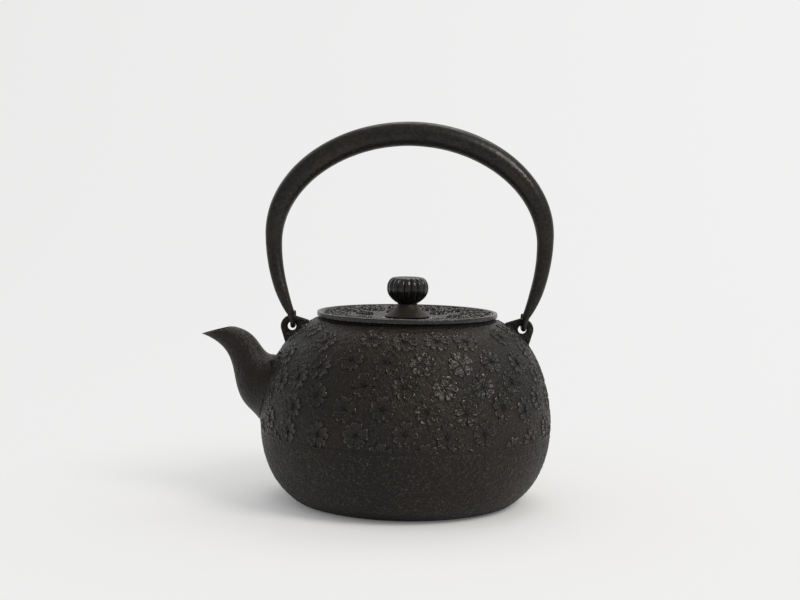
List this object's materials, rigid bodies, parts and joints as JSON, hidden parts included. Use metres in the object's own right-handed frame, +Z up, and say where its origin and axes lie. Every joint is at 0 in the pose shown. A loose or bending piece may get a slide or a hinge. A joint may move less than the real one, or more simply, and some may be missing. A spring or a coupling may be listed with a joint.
{
  "type": "cast iron kettle",
  "caption": "Round cast iron kettle with a curved spout, a dished lid with a loose fluted knob, and a hollow arched bail that tilts in its pierced ears.",
  "frame": {"origin": "centre of the flat base on the body's axis, at the level of the surface that the kettle stands on", "axes": "+Z up, along the body's axis; -X the way the spout points; Y across, and the bail stands in the XZ plane"},
  "size_m": [0.1879, 0.1558, 0.2024],
  "materials": {
    "body_iron": "matte baked lacquer over cast grain, warm brown black, worn paler on the relief",
    "lid_iron": "satin baked lacquer over cast relief, greyer than the body",
    "knob_iron": "satin, smooth, blue grey in the highlights",
    "washer_iron": "plain dark iron, peened over by hand",
    "bail_iron": "satin, hammered smooth, fine mottled grain"
  },
  "bodies": {
    "kettle": {"kettle_body": "body_iron"},
    "lid": {"lid_plate": "lid_iron", "knob_seat": "knob_iron", "knob_washer": "washer_iron"},
    "knob": {"lid_knob": "knob_iron"},
    "bail": {"bail_handle": "bail_iron"}
  },
  "joints": [
    {"name": "lid_lift", "type": "slide", "parent": "kettle", "child": "lid", "axis": [0, 0, 1], "range_m": [0, 0.06]},
    {"name": "knob_spin", "type": "hinge", "parent": "lid", "child": "knob", "pos_m": [0, 0, 0.112], "axis": [0, 0, 1], "continuous": true},
    {"name": "handle_tilt", "type": "hinge", "parent": "kettle", "child": "bail", "pos_m": [0, 0, 0.0935], "axis": [1, 0, 0], "range_deg": [-18, 18]}
  ]
}
